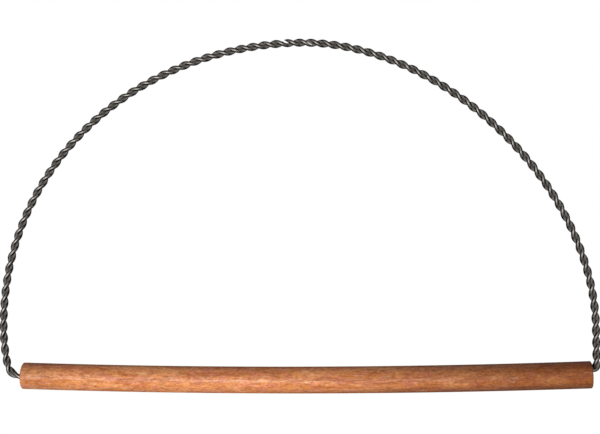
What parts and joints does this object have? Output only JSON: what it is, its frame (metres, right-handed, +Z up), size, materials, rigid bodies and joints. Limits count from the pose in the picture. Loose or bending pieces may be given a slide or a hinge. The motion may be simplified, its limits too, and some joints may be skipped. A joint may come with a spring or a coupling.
{
  "type": "dowel hanger with twisted wire bail",
  "caption": "Arched bail of doubled, twisted dark wire whose bent-in ends turn in holes in the ends of a slightly bowed stained wooden dowel; hangs a small textile from a hook or nail.",
  "frame": {"origin": "middle of the axis through the holes in the dowel's ends, on which the dowel turns", "axes": "+X along the dowel, +Z up to the crown of the bail, +Y square to the bail's plane and away from the viewer"},
  "size_m": [0.2148, 0.0096, 0.1266],
  "materials": {
    "wire": "dark annealed, satin",
    "stained_wood": "reddish-brown stain, satin"
  },
  "bodies": {
    "bail": {"twisted_wire_bail": "wire"},
    "dowel": {"dowel": "stained_wood"}
  },
  "joints": [
    {"name": "dowel_spin", "type": "hinge", "parent": "bail", "child": "dowel", "pos_m": [0, 0, 0], "axis": [1, 0, 0], "continuous": true}
  ]
}
